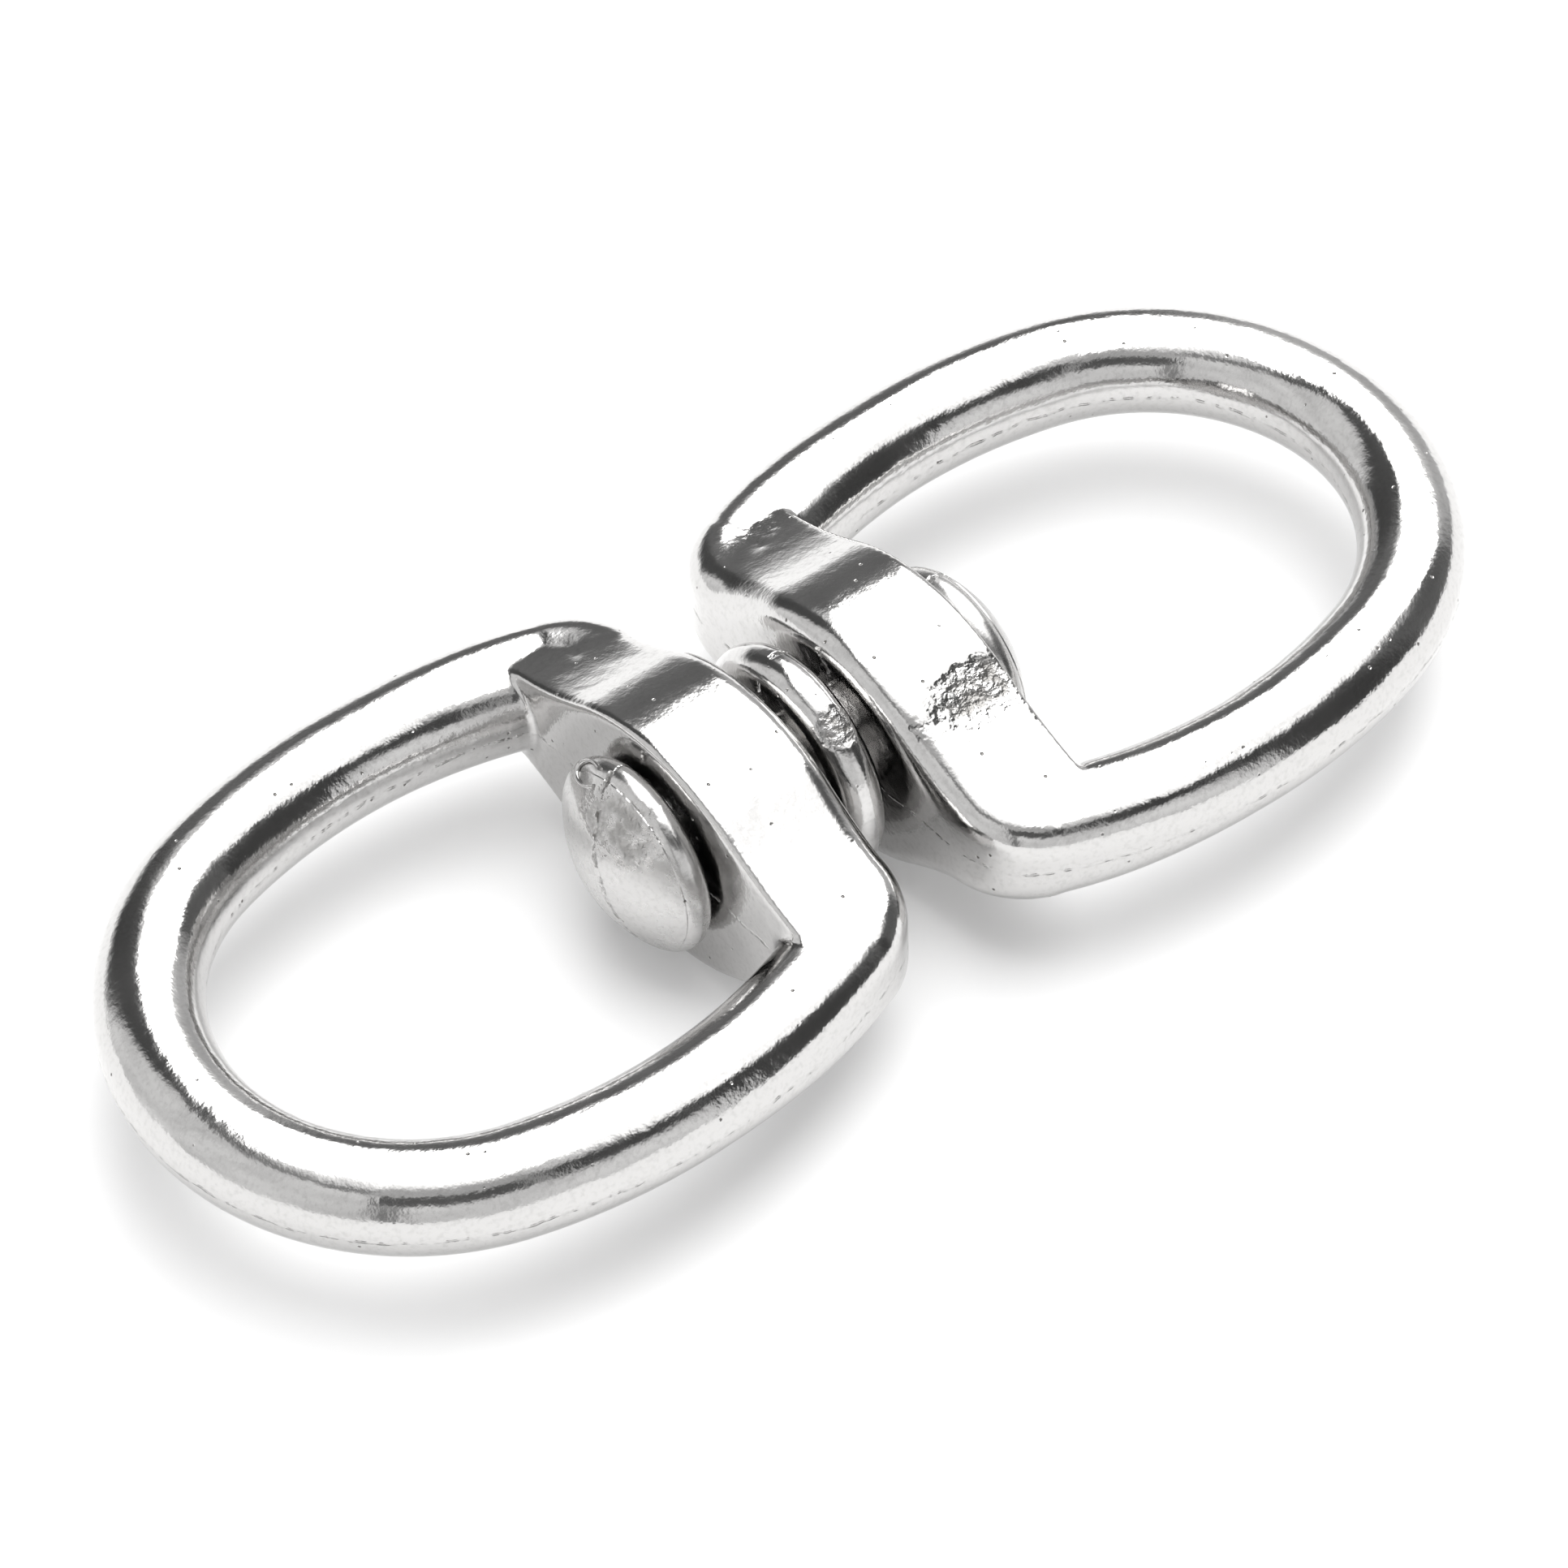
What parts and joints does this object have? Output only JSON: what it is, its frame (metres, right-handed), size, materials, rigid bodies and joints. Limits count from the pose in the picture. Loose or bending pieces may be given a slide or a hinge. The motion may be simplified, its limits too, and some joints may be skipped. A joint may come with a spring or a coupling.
{
  "type": "double-eye swivel",
  "caption": "Cast swivel with an oval eye at each end, joined by a headed pin so that the eyes turn freely about its long axis.",
  "frame": {"origin": "middle of the swivel pin, which is the centre of the whole part", "axes": "+X along the swivel axis towards the far eye, +Y across the eyes, +Z square to the plane the eyes lie in, up"},
  "size_m": [0.062, 0.0268, 0.0108],
  "materials": {
    "near_eye": "bright nickel plate on a zinc casting",
    "far_eye": "bright nickel plate on a zinc casting",
    "swivel_pin": "bright nickel plate on a zinc casting"
  },
  "bodies": {
    "near_eye": {"near_eye": "near_eye"},
    "swivel_pin": {"swivel_pin": "swivel_pin"},
    "far_eye": {"far_eye": "far_eye"}
  },
  "joints": [
    {"name": "near_swivel", "type": "hinge", "parent": "near_eye", "child": "swivel_pin", "pos_m": [0, 0, 0], "axis": [1, 0, 0], "continuous": true},
    {"name": "far_swivel", "type": "hinge", "parent": "swivel_pin", "child": "far_eye", "pos_m": [0, 0, 0], "axis": [1, 0, 0], "continuous": true}
  ]
}
